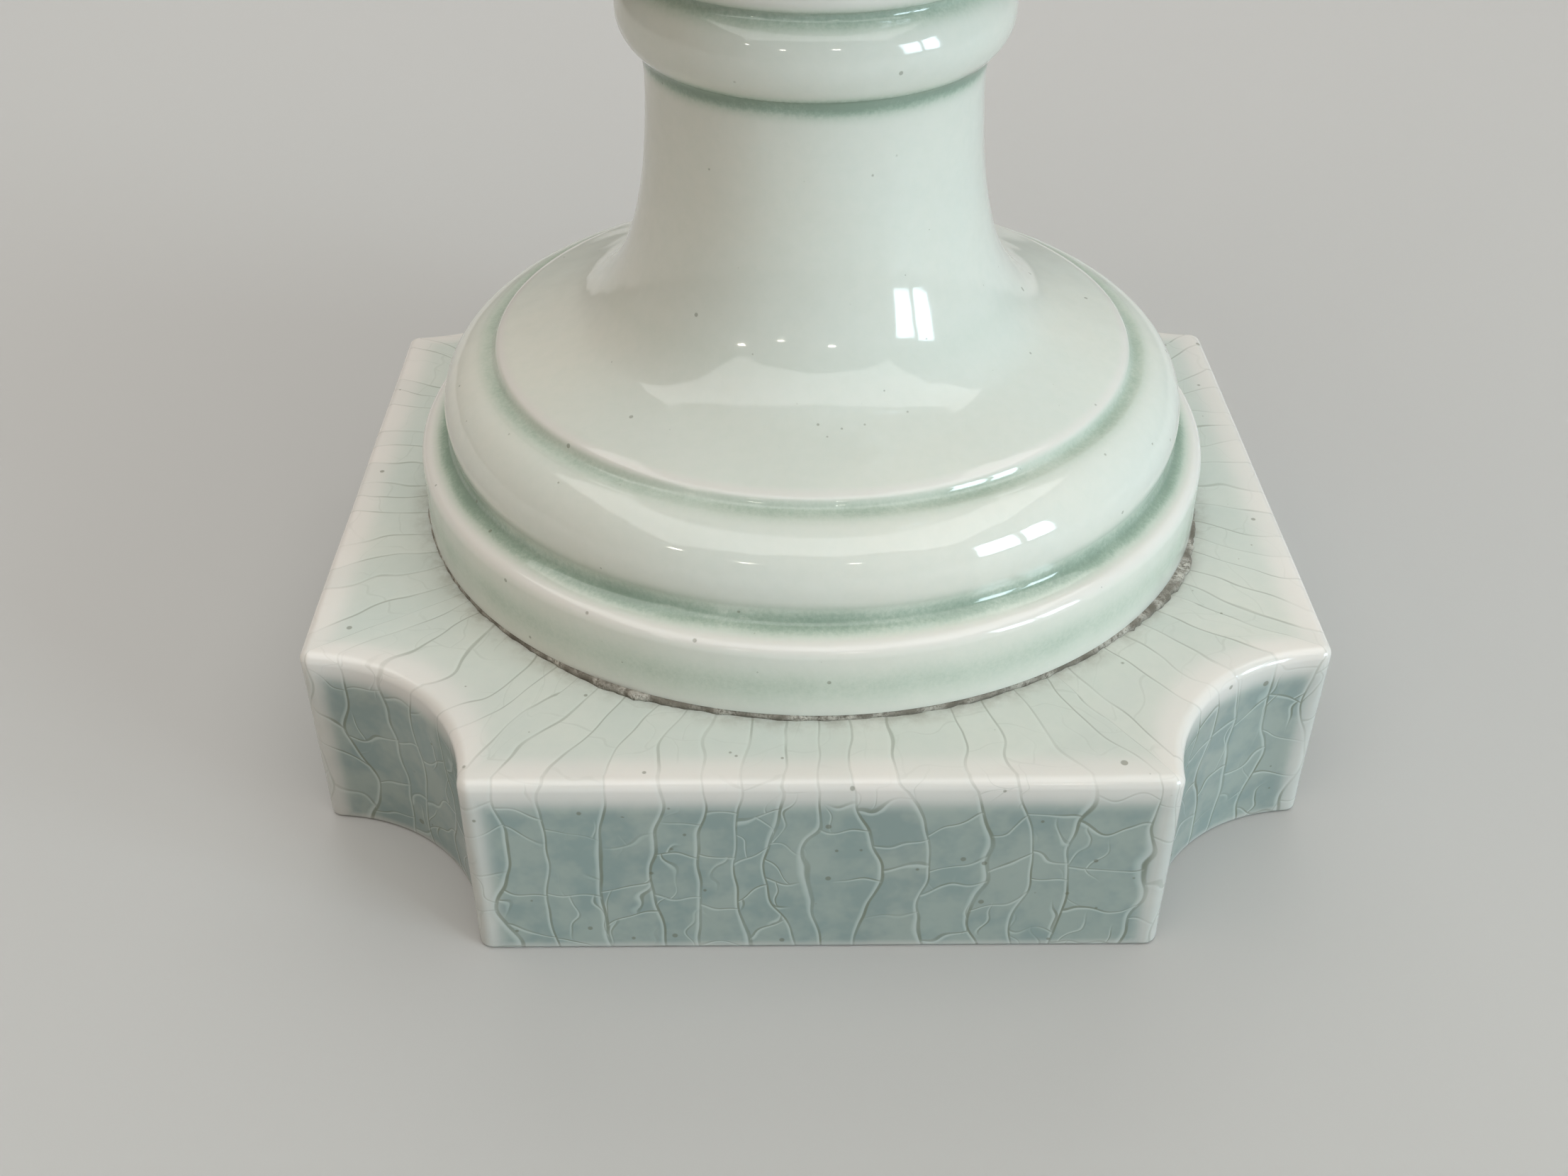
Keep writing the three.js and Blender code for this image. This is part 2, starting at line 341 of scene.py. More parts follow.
def foot_glaze():
    """The uncrackled, very glossy glaze of the foot and the body."""
    n = Nodes("celadon_glaze")
    place = n.object_mm()
    base = glaze_base(n, place, FOOT_TONE, FOOT_DEEP, FOOT_CREAM)
    specks = n.math("MAXIMUM", pinholes(n, place, 0.13, 0.16, 3.0), pinholes(n, place, 0.07, 0.3, 11.0))
    base = n.mix(n.math("MULTIPLY", specks, 0.5), base, FOOT_SPECK)
    x, y, z = n.split(place)
    stretched = n.add("ShaderNodeCombineXYZ")
    n.link(n.math("MULTIPLY", x, 0.1), stretched.inputs[0])
    n.link(n.math("MULTIPLY", y, 0.1), stretched.inputs[1])
    n.link(z, stretched.inputs[2])
    rings = n.noise(stretched.outputs[0], 1.1, 2.0)
    peel = n.noise(place, 0.22, 1.0)
    normal = n.bump(peel, 0.25 * MM, 0.35)
    normal = n.bump(rings, 0.03 * MM, 0.3, normal)
    normal = n.bump(n.math("MULTIPLY", specks, -1.0), 0.04 * MM, 0.6, normal)
    n.set(Base_Color=base, Normal=normal)
    n.set(Roughness=n.fade(n.noise(place, 0.12, 2.0), 0.3, 0.7, 0.05, 0.09))
    milky(n)
    return n.material


def lines_1d(n, where, spacing):
    """Distance in mm to the nearest of some unevenly spaced lines, and a random colour for each gap."""
    edges = n.add("ShaderNodeTexVoronoi", voronoi_dimensions="1D", feature="DISTANCE_TO_EDGE")
    cells = n.add("ShaderNodeTexVoronoi", voronoi_dimensions="1D", feature="F1")
    for node in (edges, cells):
        n.link(where, node.inputs["W"])
        node.inputs["Scale"].default_value = 1 / spacing
        node.inputs["Randomness"].default_value = 0.85
    picked = n.add("ShaderNodeSeparateColor")
    n.link(cells.outputs["Color"], picked.inputs[0])
    return n.math("MULTIPLY", edges.outputs["Distance"], spacing), picked.outputs


def crack(n, where, spacing, width):
    """A family of cracks: dark line, the glint along one side of it, and the gaps' random numbers."""
    distance, gaps = lines_1d(n, where, spacing)
    little_way = 0.06
    ahead, _ = lines_1d(n, n.math("ADD", where, little_way), spacing)
    one_side = n.math("LESS_THAN", ahead, distance)
    dark = n.fade(distance, width * 0.35, width, 1.0, 0.0)
    light = n.math("MULTIPLY", one_side, n.fade(distance, width, width * 3, 1.0, 0.0))
    return dark, n.math("MULTIPLY", light, n.math("SUBTRACT", 1.0, dark)), gaps


def plinth_glaze():
    """Thick glaze with a stained crackle: long lines down the sides, joined by shorter rungs and chips."""
    n = Nodes("celadon_crackle_glaze")
    place = n.object_mm()
    unrolled = n.attribute("unrolled", "Vector")
    ux, uy, height = n.split(unrolled)
    radius = n.math("SQRT", n.math("ADD", n.math("MULTIPLY", ux, ux), n.math("MULTIPLY", uy, uy)))
    along = n.math("MULTIPLY", n.math("ARCTAN2", ux, uy), radius)

    base = glaze_base(n, place, PLINTH_TONE, PLINTH_DEEP, PLINTH_CREAM)
    # Painted shade: everything below the top edge takes a darker tone, for the shade the sides lie in
    side = n.fade(height, PLINTH_TOP, PLINTH_TOP - 3.5)
    side_shade_tone = n.mix(n.fade(n.noise(unrolled, 0.24, 3.0, 0.6), 0.36, 0.64), SIDE_SHADE_DARK, SIDE_SHADE_PALE)
    base = n.mix(n.math("MULTIPLY", side, 0.85), base, side_shade_tone)
    # The edges' white stands partly for thin glaze and partly for a painted highlight along the top edge
    thin = n.attribute("thin")
    base = n.mix(n.math("MULTIPLY", n.fade(thin, 0.0, 1.0), 0.7), base, EDGE_THIN_GLAZE_AND_HIGHLIGHT)

    def warped(scale, amount, start):
        wave = n.math("SUBTRACT", n.noise(unrolled, scale, 0.0), 0.5)
        return n.math("MULTIPLY_ADD", wave, amount, start)

    long_place = warped(0.32, 1.1, warped(0.11, 6.0, along))
    dark_1, light_1, gap = crack(n, long_place, *LONG_CRACKS)

    tilt = n.math("MULTIPLY", n.math("SUBTRACT", gap[1], 0.5), 1.3)
    rung_start = n.math("MULTIPLY_ADD", gap[0], 40.0, n.math("MULTIPLY_ADD", long_place, tilt, height))
    rung_place = warped(0.35, 2.6, rung_start)
    dark_2, light_2, rung_gap = crack(n, rung_place, *RUNGS)

    chip_tilt = n.math("MULTIPLY", n.math("SUBTRACT", rung_gap[1], 0.5), 1.8)
    chip_start = n.math("MULTIPLY_ADD", rung_gap[0], 50.0, n.math("MULTIPLY_ADD", height, chip_tilt, along))
    dark_3, light_3, _ = crack(n, warped(0.4, 3.0, chip_start), *CHIPS)

    patch = n.noise(unrolled, 0.085, 2.0)
    busy = n.fade(patch, 0.34, 0.46)
    busier = n.fade(n.noise(unrolled, 0.11, 1.0), 0.47, 0.58)
    on_top = n.fade(height, PLINTH_TOP - 0.5, PLINTH_TOP + 2.0)
    calm = n.math("MULTIPLY_ADD", on_top, -0.7, 1.0)
    weight_2 = n.math("MULTIPLY", busy, calm)
    weight_3 = n.math("MULTIPLY", n.math("MULTIPLY", busier, busy), calm)

    def of_short_cracks(rung, chip):
        return n.math("MAXIMUM", n.math("MULTIPLY", rung, weight_2), n.math("MULTIPLY", chip, weight_3))

    dark = n.math("MAXIMUM", dark_1, n.math("MULTIPLY", of_short_cracks(dark_2, dark_3), 0.8))
    light = n.math("MAXIMUM", light_1, of_short_cracks(light_2, light_3))

    covered = n.math("MULTIPLY_ADD", n.fade(thin, 0.2, 0.9), -0.65, 1.0)
    stained = n.fade(n.noise(unrolled, 0.2, 2.0), 0.35, 0.65, 0.35, 1.0)
    # Painted shade: each flake between the cracks is darkened a little at random, for the uneven light that
    # the cracks refract
    flake_shade = n.fade(gap[2], 0.0, 1.0, 0.0, 0.10)
    base = n.mix(flake_shade, base, FLAKE_SHADE)
    line_strength = n.math("MULTIPLY", n.math("MULTIPLY", dark, stained), covered)
    line_strength = n.math("MULTIPLY", line_strength, n.math("MULTIPLY_ADD", on_top, -0.4, 1.0))
    glint_strength = n.math("MULTIPLY", n.math("MULTIPLY", covered, calm), 0.34)
    base = n.mix(n.math("MULTIPLY", light, glint_strength), base, CRACK_GLINT)
    base = n.mix(n.math("MULTIPLY", line_strength, 0.7), base, CRACK_STAIN)

    specks = n.math("MAXIMUM", pinholes(n, place, 0.16, 0.18, 5.0), pinholes(n, place, 0.08, 0.4, 17.0))
    base = n.mix(n.math("MULTIPLY", specks, 0.55), base, PLINTH_SPECK)

    x, y, _ = n.split(place)
    reach = n.math("SQRT", n.math("ADD", n.math("MULTIPLY", x, x), n.math("MULTIPLY", y, y)))
    # A patchy darker ring on the top, round the foot's base
    dark_ring_round_foot = n.math("MULTIPLY", n.fade(reach, FOOT_RADIUS + 2.2, FOOT_RADIUS - 0.2), on_top)
    dark_ring_round_foot = n.math("MULTIPLY", dark_ring_round_foot, n.fade(n.noise(place, 0.5, 4.0, 0.7), 0.35, 0.7))
    base = n.mix(n.math("MULTIPLY", dark_ring_round_foot, 0.45), base, DARK_RING_ROUND_FOOT)

    peel = n.bump(n.noise(place, 0.16, 1.0), 0.4 * MM, 0.35)
    n.set(Base_Color=base, Normal=n.bump(n.math("MULTIPLY", dark, -1.0), 0.02 * MM, 0.3, peel))
    n.set(Roughness=n.fade(n.noise(place, 0.12, 2.0), 0.3, 0.7, 0.07, 0.13))
    milky(n)
    return n.material


# ---------------------------------------------------------------- other materials


def gritty(name, dark, pale, rough, grain):
    """Crumbly matter such as cement or cork: two colours in grains, with a rough surface."""
    n = Nodes(name)
    place = n.object_mm()
    fine = n.noise(place, grain, 5.0, 0.75)
    coarse = n.noise(place, grain / 4, 3.0)
    n.set(Base_Color=n.mix(n.fade(fine, 0.35, 0.65), dark, n.mix(n.fade(coarse, 0.3, 0.7), pale, dark)))
    n.set(Roughness=n.fade(fine, 0.3, 0.7, rough, 1.0), Normal=n.bump(fine, 0.2 * MM, 0.8))
    return n.material


def metal(name, bright, dull, rough):
    """Machined metal, a little tarnished, with fine turning marks."""
    n = Nodes(name)
    place = n.object_mm()
    tarnish = n.fade(n.noise(place, 0.35, 4.0, 0.65), 0.4, 0.7)
    x, y, z = n.split(place)
    reach = n.math("SQRT", n.math("ADD", n.math("MULTIPLY", x, x), n.math("MULTIPLY", y, y)))
    marks = n.math("SINE", n.math("MULTIPLY", n.math("ADD", reach, z), 24.0))
    n.set(Base_Color=n.mix(tarnish, bright, dull), Normal=n.bump(marks, 0.01 * MM, 0.25))
    n.set(Roughness=n.math("MULTIPLY_ADD", tarnish, 0.25, rough))
    n.shader.inputs["Metallic"].default_value = 1.0
    return n.material


# ---------------------------------------------------------------- plinth


UPRIGHT_REACH = 1.1  # how far thin glaze reaches from an upright edge
UNDER_ROUND = 0.8  # rounding of the rim that the plinth stands on, on the inside
CEILING_SLOPE = (1.2, 1.5)  # rounding between the hollow's walls and its ceiling: inward and up


def plinth_outline(half, notch, rounding):
    """Plan points round the plinth, with their outward normals, how far along each one is, the whole
    length, and how close each one is to an upright edge."""
    reach = math.sqrt(notch * notch + 2 * notch * rounding)
    lean = math.atan2(rounding, reach)
    flat = half - reach
    points, normals, edges = [], [], []
    for side in range(4):
        turn = side * TAU / 4

        def put(x, y, nx, ny, edge):
            c, s = math.cos(turn), math.sin(turn)
            points.append((x * c - y * s, x * s + y * c))
            normals.append((nx * c - ny * s, nx * s + ny * c))
            edges.append(edge)

        def closeness(away):
            return math.exp(-((away / UPRIGHT_REACH) ** 2))

        for x in -flat * np.cos(np.linspace(0, math.pi, 49))[:-1]:
            put(x, -half, 0, -1, closeness(flat - abs(x)))
        for a in np.linspace(-math.pi / 2, -lean, 9)[:-1]:
            nx, ny = math.cos(a), math.sin(a)
            put(flat + rounding * nx, -half + rounding + rounding * ny, nx, ny, 1)
        for a in np.linspace(math.pi - lean, math.pi / 2 + lean, 37)[:-1]:
            nx, ny = -math.cos(a), -math.sin(a)
            away = notch * min(math.pi - lean - a, a - math.pi / 2 - lean)
            put(half - notch * nx, -half - notch * ny, nx, ny, closeness(away))
        for a in np.linspace(-math.pi / 2 + lean, 0, 9)[:-1]:
            nx, ny = math.cos(a), math.sin(a)
            put(half - rounding + rounding * nx, -flat + rounding * ny, nx, ny, 1)
    points = np.array(points)
    steps = np.linalg.norm(np.roll(points, -1, axis=0) - points, axis=1)
    along = np.concatenate([[0], np.cumsum(steps)[:-1]])
    return points, np.array(normals), along, steps.sum(), np.array(edges)


def make_plinth(material):
    """One closed skin: top, rounded edges, sides, the rim it stands on, the hollow and the rod's hole.

    The crackle reads "unrolled", the outline wrapped round a cylinder with the way over the skin as height.
    """
    outer, normal, along, perimeter, upright = plinth_outline(PLINTH_HALF, NOTCH, CORNER_ROUND)
    inner, inner_normal, *_ = plinth_outline(PLINTH_HALF - PLINTH_WALL, NOTCH, CORNER_ROUND)
    direction = outer / np.linalg.norm(outer, axis=1)[:, None]
    hole = direction * ROD_HOLE
    rings, heights, thin, pool = [], [], [], []

    def ring(plan, z, unrolled, edge=0.0, crease=0.0):
        rings.append(np.column_stack([plan, np.full(len(plan), z)]))
        heights.append(np.full(len(plan), unrolled))
        thin.append(np.maximum(edge, upright * (0.75 if edge >= 0 else 0)))
        pool.append(np.full(len(plan), crease))

    shoulder = outer - normal * EDGE_ROUND
    middle = 24  # the point halfway along the front
    run = float(np.linalg.norm(outer[middle] - hole[middle]))
    # Near the top edge the thin value is partly thin glaze and partly a painted highlight: it whitens the
    # top for about 2.2 mm inward, the rounded edge and the sides' top 1.7 mm
    for share in np.concatenate([np.linspace(0, 0.7, 12), np.linspace(0.72, 1, 26)])[:-1]:
        inward = (1 - share) * run
        edge = 0.8 * math.exp(-((inward / 2.2) ** 2))
        plan = hole + (shoulder - hole) * share
        ring(plan, PLINTH_TOP, PLINTH_TOP + EDGE_ROUND + inward, edge)
        thin[-1] = edge * np.ones(len(plan))
    for a in np.linspace(math.pi / 2, 0, 9):
        z = PLINTH_TOP - EDGE_ROUND * (1 - math.sin(a))
        ring(outer - normal * EDGE_ROUND * (1 - math.cos(a)), z, z + EDGE_ROUND * math.sin(a), 1.0)
    side_top = PLINTH_TOP - EDGE_ROUND
    for z in np.linspace(side_top, BASE_ROUND, 31)[1:-1]:
        edge = max(0.9 * math.exp(-(((side_top - z) / 1.7) ** 2)), 0.5 * math.exp(-((z / 0.8) ** 2)))
        ring(outer, z, z, edge)
    for a in np.linspace(0, math.pi / 2, 6):
        z = BASE_ROUND * (1 - math.sin(a))
        ring(outer - normal * BASE_ROUND * (1 - math.cos(a)), z, z, 0.55)
    rim_outside = outer - normal * BASE_ROUND
    rim_inside = inner + inner_normal * UNDER_ROUND
    for share in (0.33, 0.67, 1.0):
        ring(rim_outside + (rim_inside - rim_outside) * share, 0.0, -5.0 * share, -1.0)
    for a in np.linspace(0, math.pi / 2, 6)[1:]:
        rise = UNDER_ROUND * (1 - math.cos(a))
        ring(inner + inner_normal * UNDER_ROUND * (1 - math.sin(a)), rise, -6.0, -1.0)
    slope_in, slope_up = CEILING_SLOPE
    for z in np.linspace(UNDER_ROUND, PLINTH_CEILING - slope_up, 8)[1:]:
        ring(inner, z, -6.0 - z, -1.0)
    for a in np.linspace(0, math.pi / 2, 6)[1:]:
        z = PLINTH_CEILING - slope_up * (1 - math.sin(a))
        ring(inner - inner_normal * slope_in * (1 - math.cos(a)), z, -20.0, -1.0, 0.3)
    ceiling = inner - inner_normal * slope_in
    for share in np.linspace(0, 1, 16)[1:]:
        ring(ceiling + (hole - ceiling) * share, PLINTH_CEILING, -22.0 - 30 * share, -1.0)
    for z in np.linspace(PLINTH_CEILING, PLINTH_TOP, 6)[1:-1]:
        ring(hole, z, -52.0 - z, -1.0)

    piece = skin("plinth_block", rings, flip=True)
    spread = perimeter / TAU
    angle = (along / perimeter - 1 / 8) * TAU
    wrapped = np.column_stack([spread * np.sin(angle), spread * np.cos(angle)])
    unrolled = np.array([np.column_stack([wrapped, height]) for height in heights])
    attribute(piece, "unrolled", unrolled.reshape(-1, 3))
    attribute(piece, "thin", np.clip(np.array(thin), 0, 1).ravel())
    attribute(piece, "pool", np.array(pool).ravel())
    finish_piece(piece, material, "plinth_glaze", "plinth")
    return piece


# ---------------------------------------------------------------- foot and body


def foot_profile():
    """Outside from the joint with the plinth up to the collar, then the inside down again."""
    bottom, top = FOOT_LOW[2], FOOT_HIGH[2]
    outside = [
        *arc(FOOT_RADIUS - 0.12, bottom + 0.12, 0.12, -90, 0, 5),
        *line((FOOT_RADIUS, bottom + 0.6), (FOOT_RADIUS - 0.1, 25.3), 14),
        *arc(FOOT_RADIUS - 1.3, 25.4, 1.2, 0, 84, 12),
        *curve([(36.0, 26.66), (35.35, 26.95), (34.85, 27.25), (34.62, 27.75)], 10),
        *arc(29.87, 29.85, 5, -18, 74, 44),
        *curve([(31.05, 34.75), (30.35, 34.82), (29.9, 34.95), (29.7, 35.2)], 8),
        *arc(28.8, 35.0, 0.9, 22, 66, 8),
        *curve(
            [
                (28.7, 36.05),
                (26.4, 36.75),
                (24.0, 37.5),
                (21.6, 38.5),
                (19.6, 40.2),
                (17.8, 42.7),
                (16.5, 45.7),
                (15.4, 50.2),
                (14.85, 54.7),
                (14.6, 60.2),
                (14.75, 62.0),
            ],
            80,
        ),
        *curve([(14.85, 62.4), (15.1, 62.65), (15.35, 62.8)], 5),
        *arc(12.9, 65.9, 3.9, -48, 46, 36),
        *curve([(15.3, 68.95), (15.12, 69.3), (15.3, 69.6)], 5),
        *arc(14.6, 70.6, 1.3, -48, 74, 12),
        (14.5, top - 0.1),
        (14.2, top),
    ]
    inside = [
        *line((ROD_HOLE, top), (ROD_HOLE, 63), 4),
        *curve(
            [(ROD_HOLE, 63), (9.4, 57.5), (10.1, 52), (12.5, 44), (17.5, 37.5), (24.5, 32.5), (30.4, 28)],
            30,
        ),
        (31.4, 24),
        (31.6, bottom + 0.5),
        (32.0, bottom),
        (34.5, bottom),
    ]
    return [*outside, *inside]


def body_profile():
    """The guessed upper part: small base, egg-shaped bowl, collar, flared neck and rolled rim."""
    bottom, top = BODY_LOW[2], BODY_HIGH[2]
    rim = 36.5
    outside = [
        (14.2, bottom),
        (14.55, bottom + 0.12),
        *arc(14.2, bottom + 1.2, 0.62, -50, 60, 6),
        *curve(
            [
                (14.2, 75.4),
                (13.9, 77.6),
                (15.8, 81.0),
                (22.8, 87.0),
                (34.2, 96.8),
                (45.6, 111.5),
                (54.0, 131.0),
                (57.7, 149.5),
                (BODY_HIGH[0] - 0.1, 159.0),
                (56.6, 172.5),
                (51.2, 185.5),
                (41.5, 196.0),
                (31.5, 202.6),
                (27.8, 205.6),
                (27.3, 206.5),
            ],
            110,
        ),
        *arc(25.6, 208.6, 2.5, -40, 44, 14),
        *curve(
            [
                (27.1, 210.6),
                (25.8, 211.8),
                (23.2, 219.0),
                (22.6, 227.0),
                (24.0, 237.0),
                (28.2, 247.0),
                (33.6, 253.6),
                (35.0, 254.5),
            ],
            44,
        ),
        *arc(rim - 2.9, top - 2.9, 2.9, -50, 150, 26),
    ]
    inside = [
        *curve(
            [
                (30.4, 256.6),
                (28.6, 253.4),
                (24.4, 247.4),
                (20.2, 237.6),
                (18.6, 227.0),
                (19.2, 218.0),
                (22.0, 207.5),
                (28.0, 200.5),
                (38.0, 192.5),
                (47.0, 182.5),
                (52.0, 171.5),
                (53.5, 159.0),
                (53.0, 148.0),
                (49.4, 131.5),
                (41.0, 113.5),
                (29.5, 99.5),
                (19.0, 90.0),
                (12.5, 83.8),
                (10.0, 81.0),
            ],
            90,
        )[1:],
        *line((9.0, 81.0), (ROD_HOLE, 81.0), 3),
        *line((ROD_HOLE, 81.0), (ROD_HOLE, bottom), 4),
        (ROD_HOLE, bottom),
    ]
    return [*outside, *inside]


def make_turned(name, profile, material, nodes, pools, thins):
    """A turned porcelain piece that knows where its glaze pools and where it runs thin."""
    piece = skin(name, turned_rings(profile, AROUND_TURNED))
    attribute(piece, "pool", np.repeat(near(profile, pools), AROUND_TURNED))
    attribute(piece, "thin", np.repeat(near(profile, thins), AROUND_TURNED))
    finish_piece(piece, material, "foot_glaze", *nodes)
    return piece


# Where the glaze pools and where it runs thin, along a profile: radius, height, reach and strength
FOOT_POOLS = [
    (35.0, 27.3, 1.3, 0.85),
    (35.9, 26.9, 1.0, 0.4),
    (30.2, 34.9, 1.3, 0.55),
    (29.6, 35.3, 0.7, 0.35),
    (14.8, 62.4, 1.2, 1.0),
    (15.2, 69.2, 1.4, 0.62),
    (19.2, 41.7, 1.8, 0.16),
    (37.6, 22.6, 2.2, 0.45),
]
FOOT_THINS = [
    (36.9, 26.4, 0.8, 1.0),
    (29.2, 35.95, 0.55, 1.0),
    (15.9, 70.7, 0.9, 0.8),
    (37.6, 20.0, 0.5, 0.3),
]
BODY_POOLS = [
    (14.0, 75.6, 1.4, 0.8),
    (27.4, 206.2, 1.6, 0.9),
    (27.0, 211.0, 1.6, 0.9),
    (35.2, 254.4, 1.2, 0.6),
]
BODY_THINS = [
    (28.1, 208.6, 1.0, 0.7),
    (34.0, 260.0, 2.4, 1.0),
    (36.5, 257.1, 1.4, 0.9),
    (14.8, 74.0, 0.6, 0.7),
]


# ---------------------------------------------------------------- bedding, gaskets and hardware


def make_bedding(material):
    """Cement between foot and plinth: level with the foot, and squeezed out in crumbs at two places."""
    low, high = PLINTH_TOP - PLINTH_WOBBLE, FOOT_LOW[2] + FOOT_WOBBLE
    around = 480
    inner = 32.0
    angles = np.arange(around) * TAU / around
    squeezed = np.zeros(around)
    for direction, width, amount in ((330, 0.22, 0.9), (243, 0.12, 0.45)):
        squeezed += amount * np.exp(-(((angles - math.radians(direction)) / width) ** 2))
    ragged = np.array([noise.noise(Vector((math.cos(a), math.sin(a), 0.3)) * 26) for a in angles])
    crumbs = np.array([noise.noise(Vector((math.cos(a), math.sin(a), 4.3)) * 70) for a in angles])
    outer = FOOT_RADIUS - 0.05 + squeezed * (1 + 0.5 * crumbs) + 0.16 * ragged + 0.10 * crumbs
    bulge = (outer + 0.05, (low + high) / 2)
    rings = []
    for radius, z in ((inner, low), (outer, low), bulge, (outer - 0.1, high), (inner, high)):
        rings.append(np.column_stack([radius * np.cos(angles), radius * np.sin(angles), np.full(around, z)]))
    piece = skin("bedding_cement", rings)
    finish_piece(piece, material, "bedding", "bedding_ring")


def make_washer(name, node, material, slot, bevel):
    """A flat ring with rounded edges, the size of its CAD node."""
    low, high = (np.array(corner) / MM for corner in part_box(node))
    inner = ROD_HOLE if slot == "cork" else ROD_RADIUS + 0.3
    outer = high[0]
    profile = []
    for r, z, start in (
        (outer - bevel, low[2] + bevel, -90),
        (outer - bevel, high[2] - bevel, 0),
        (inner + bevel, high[2] - bevel, 90),
        (inner + bevel, low[2] + bevel, 180),
    ):
        profile += arc(r, z, bevel, start, start + 90, 4)
    piece = skin(name, turned_rings(profile, AROUND_HARDWARE))
    finish_piece(piece, material, slot, node)


def make_spring_washer(material):
    """A split ring whose two ends stand a little apart."""
    low, high = (np.array(corner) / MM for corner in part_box("spring_washer"))
    inner, outer = ROD_RADIUS + 0.2, high[0]
    bottom, top = low[2] + 0.1, high[2] - 0.1
    section = [(inner, bottom), (outer, bottom), (outer, top), (inner, top)]
    rings = []
    for angle in np.radians(np.linspace(4, 356, AROUND_HARDWARE)):
        lift = 0.12 * (angle / TAU - 0.5)
        rings.append([(r * math.cos(angle), r * math.sin(angle), z + lift) for r, z in section])
    piece = skin("spring_washer_split", rings, capped=True, flip=True)
    piece.data.polygons.foreach_set("use_smooth", [False] * len(piece.data.polygons))
    finish_piece(piece, material, "steel", "spring_washer")


def make_cap_nut(material):
    """A domed brass nut with a blind bore."""
    low, high = (np.array(corner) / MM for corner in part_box("bowl_cap_nut"))
    bore = ROD_RADIUS + 0.05
    pole = 0.05  # the skin keeps a pinprick open at the tip
    radius = high[0]
    base, tip = low[2], high[2]
    dome = [(radius, base + 2.2), (6.1, base + 4.0), (4.6, base + 6.4), (2.4, base + 7.7), (pole, tip)]
    profile = [
        (bore, base),
        *arc(radius - 0.4, base + 0.4, 0.4, -90, 0, 4),
        *curve(dome, 20),
        (pole, base + 6.1),
        (bore, base + 6.1),
    ]
    piece = skin("bowl_cap_nut_domed", turned_rings(profile, AROUND_HARDWARE))
    finish_piece(piece, material, "brass", "bowl_cap_nut")


def make_hex_nut(material):
    """A hexagonal nut with both ends chamfered."""
    low, high = (np.array(corner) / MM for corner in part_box("clamp_nut"))
    flat = high[0]
    chamfer = flat * 1.02
    upright = 0.02  # the least height of the chamfer's band
    angles = np.arange(AROUND_HARDWARE) * TAU / AROUND_HARDWARE
    # The corners lie on the Y axis, as the CAD nut's do
    hexagon = flat / np.cos((angles + TAU / 12) % (TAU / 6) - TAU / 12)
    drop = upright + np.maximum(hexagon - chamfer, 0) * math.tan(math.radians(30))
    bore = ROD_RADIUS + 0.05
    sections = [
        (np.full_like(angles, bore), np.full_like(angles, low[2])),
        (np.minimum(hexagon, chamfer), np.full_like(angles, low[2])),
        (hexagon, low[2] + drop),
        (hexagon, high[2] - drop),
        (np.minimum(hexagon, chamfer), np.full_like(angles, high[2])),
        (np.full_like(angles, bore), np.full_like(angles, high[2])),
    ]
    rings = [np.column_stack([r * np.cos(angles), r * np.sin(angles), z]) for r, z in sections]
    piece = skin("clamp_nut_hex", rings)
    piece.data.polygons.foreach_set("use_smooth", [False] * len(piece.data.polygons))
    finish_piece(piece, material, "steel", "clamp_nut")


def make_rod(material):
    """A threaded rod: a ridge that climbs one millimetre in each turn."""
    low, high = (np.array(corner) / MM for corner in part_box("tie_rod"))
    around = 24
    angles = np.arange(around) * TAU / around
    rings = []
    for z in np.linspace(low[2], high[2], int((high[2] - low[2]) * 5)):
        phase = (z - angles / TAU) % 1.0
        end = min(z - low[2], high[2] - z)
        radius = ROD_RADIUS - 0.5 * np.abs(2 * phase - 1)
        radius = np.minimum(radius, ROD_RADIUS - 0.7 + end)
        rings.append(np.column_stack([radius * np.cos(angles), radius * np.sin(angles), np.full(around, z)]))
    piece = skin("tie_rod_threaded", rings, capped=True)
    finish_piece(piece, material, "steel", "tie_rod")


# ---------------------------------------------------------------- stage, lights and camera


def make_stage():
    """A plain pale floor."""
    size = 3.0
    mesh = bpy.data.meshes.new("floor")
    corners = [(-size, -size, 0), (size, -size, 0), (size, size, 0), (-size, size, 0)]
    mesh.from_pydata(corners, [], [(0, 1, 2, 3)])
    floor = bpy.data.objects.new("floor", mesh)
    bpy.context.scene.collection.objects.link(floor)
    n = Nodes("floor_paper")
    n.set(Base_Color=colour((182, 181, 178)), Roughness=0.7)
    mesh.materials.append(n.material)


AIM = Vector((0, 0, 0.04))  # what every light faces, in metres
WARM_ROOM, DAYLIGHT = (1.0, 0.62, 0.28), (0.72, 0.90, 1.0)


def area_light(name, azimuth, elevation, distance, size, power, tint, spread=180):
    """A rectangular light that faces the vase, in metres, degrees and watts.

    Azimuth 0 is in front (-Y) and 90 is on the right (+X).
    """
    a, e = math.radians(azimuth), math.radians(elevation)
    place = AIM + Vector((math.sin(a) * math.cos(e), -math.cos(a) * math.cos(e), math.sin(e))) * distance
    light = bpy.data.lights.new(name, "AREA")
    light.shape = "RECTANGLE"
    light.size, light.size_y = size
    light.energy = power
    light.color = tint
    light.spread = math.radians(spread)
    lamp = bpy.data.objects.new(name, light)
    lamp.location = place
    lamp.rotation_euler = (AIM - place).to_track_quat("-Z", "Y").to_euler()
    bpy.context.scene.collection.objects.link(lamp)
    return lamp


